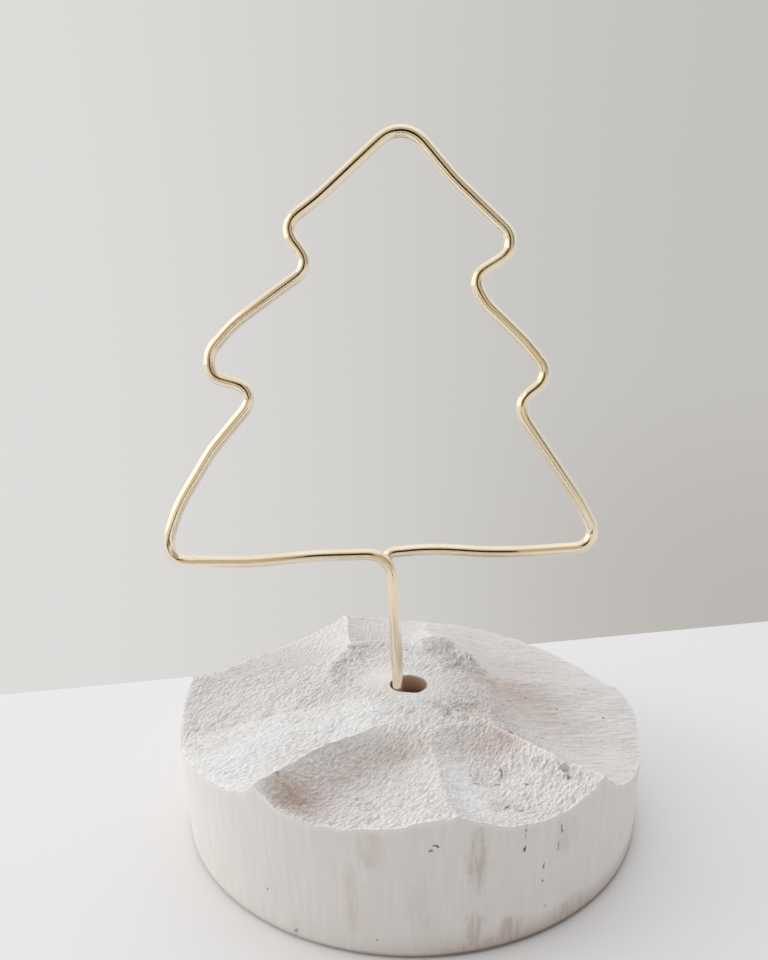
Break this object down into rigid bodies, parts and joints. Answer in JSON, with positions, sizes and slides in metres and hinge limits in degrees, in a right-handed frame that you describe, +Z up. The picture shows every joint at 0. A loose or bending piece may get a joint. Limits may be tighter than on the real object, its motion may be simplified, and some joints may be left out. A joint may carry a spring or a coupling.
{
  "type": "wire tree sculpture",
  "caption": "Fir tree outline bent from one polished brass wire, standing upright in a drilled round stone base with a chiselled top.",
  "frame": {"origin": "middle of the stone's flat underside", "axes": "+Z up along the trunk, +X to the right in the tree's plane, the tree faces -Y"},
  "size_m": [0.1213, 0.1191, 0.1695],
  "materials": {
    "stone": "white limestone, rough chiselled top and smoother rubbed side",
    "wire": "polished pale brass with small tool marks at the bends"
  },
  "bodies": {
    "root": {"stone_base": "stone", "wire_tree": "wire"}
  },
  "joints": []
}
